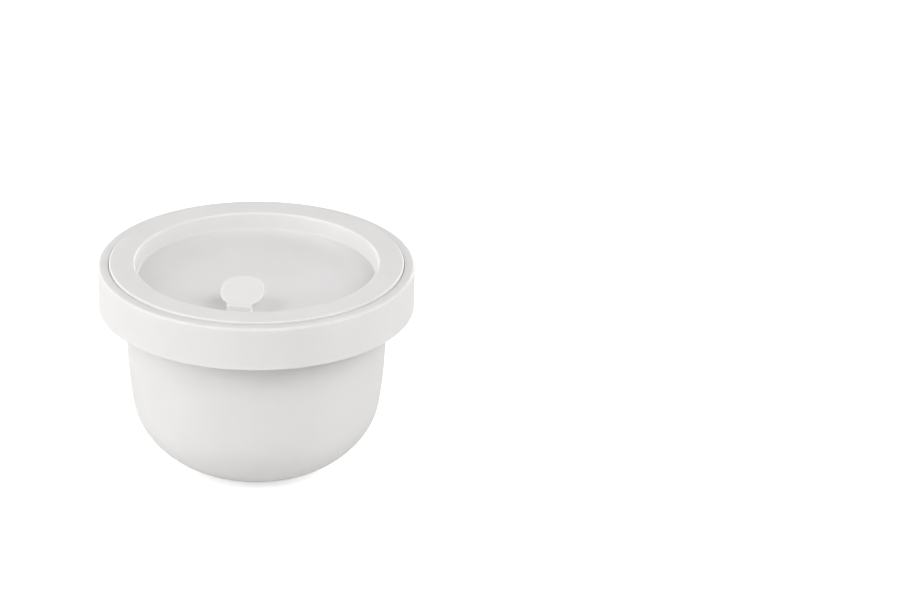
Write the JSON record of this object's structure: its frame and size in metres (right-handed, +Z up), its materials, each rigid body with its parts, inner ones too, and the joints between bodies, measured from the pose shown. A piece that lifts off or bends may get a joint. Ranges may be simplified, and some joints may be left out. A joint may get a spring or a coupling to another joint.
{
  "type": "refill cup with sealing disc",
  "caption": "White plastic round-bottomed refill cup with a wide hanging collar and a loose, recessed sealing disc lifted by a small raised pull tab.",
  "frame": {"origin": "centre of the flat that the cup stands on", "axes": "+Z up along the cup's axis; the pull tab is on the -Y side and points to +Y; X is across the tab"},
  "size_m": [0.06, 0.06, 0.0431],
  "materials": {
    "cup_plastic": "satin, moulded, white polypropylene",
    "disc_plastic": "satin, moulded, white polypropylene"
  },
  "bodies": {
    "cup": {"cup": "cup_plastic"},
    "disc": {"sealing_disc": "disc_plastic"},
    "tab": {"pull_tab": "disc_plastic"}
  },
  "joints": [
    {"name": "disc_lift", "type": "slide", "parent": "cup", "child": "disc", "axis": [0, 0, 1], "range_m": [0, 0.03]},
    {"name": "tab_flex", "type": "hinge", "parent": "disc", "child": "tab", "pos_m": [0, -0.01898, 0.04006], "axis": [1, 0, 0], "range_deg": [-20, 70], "stiffness_Nm_per_rad": 0.01}
  ]
}
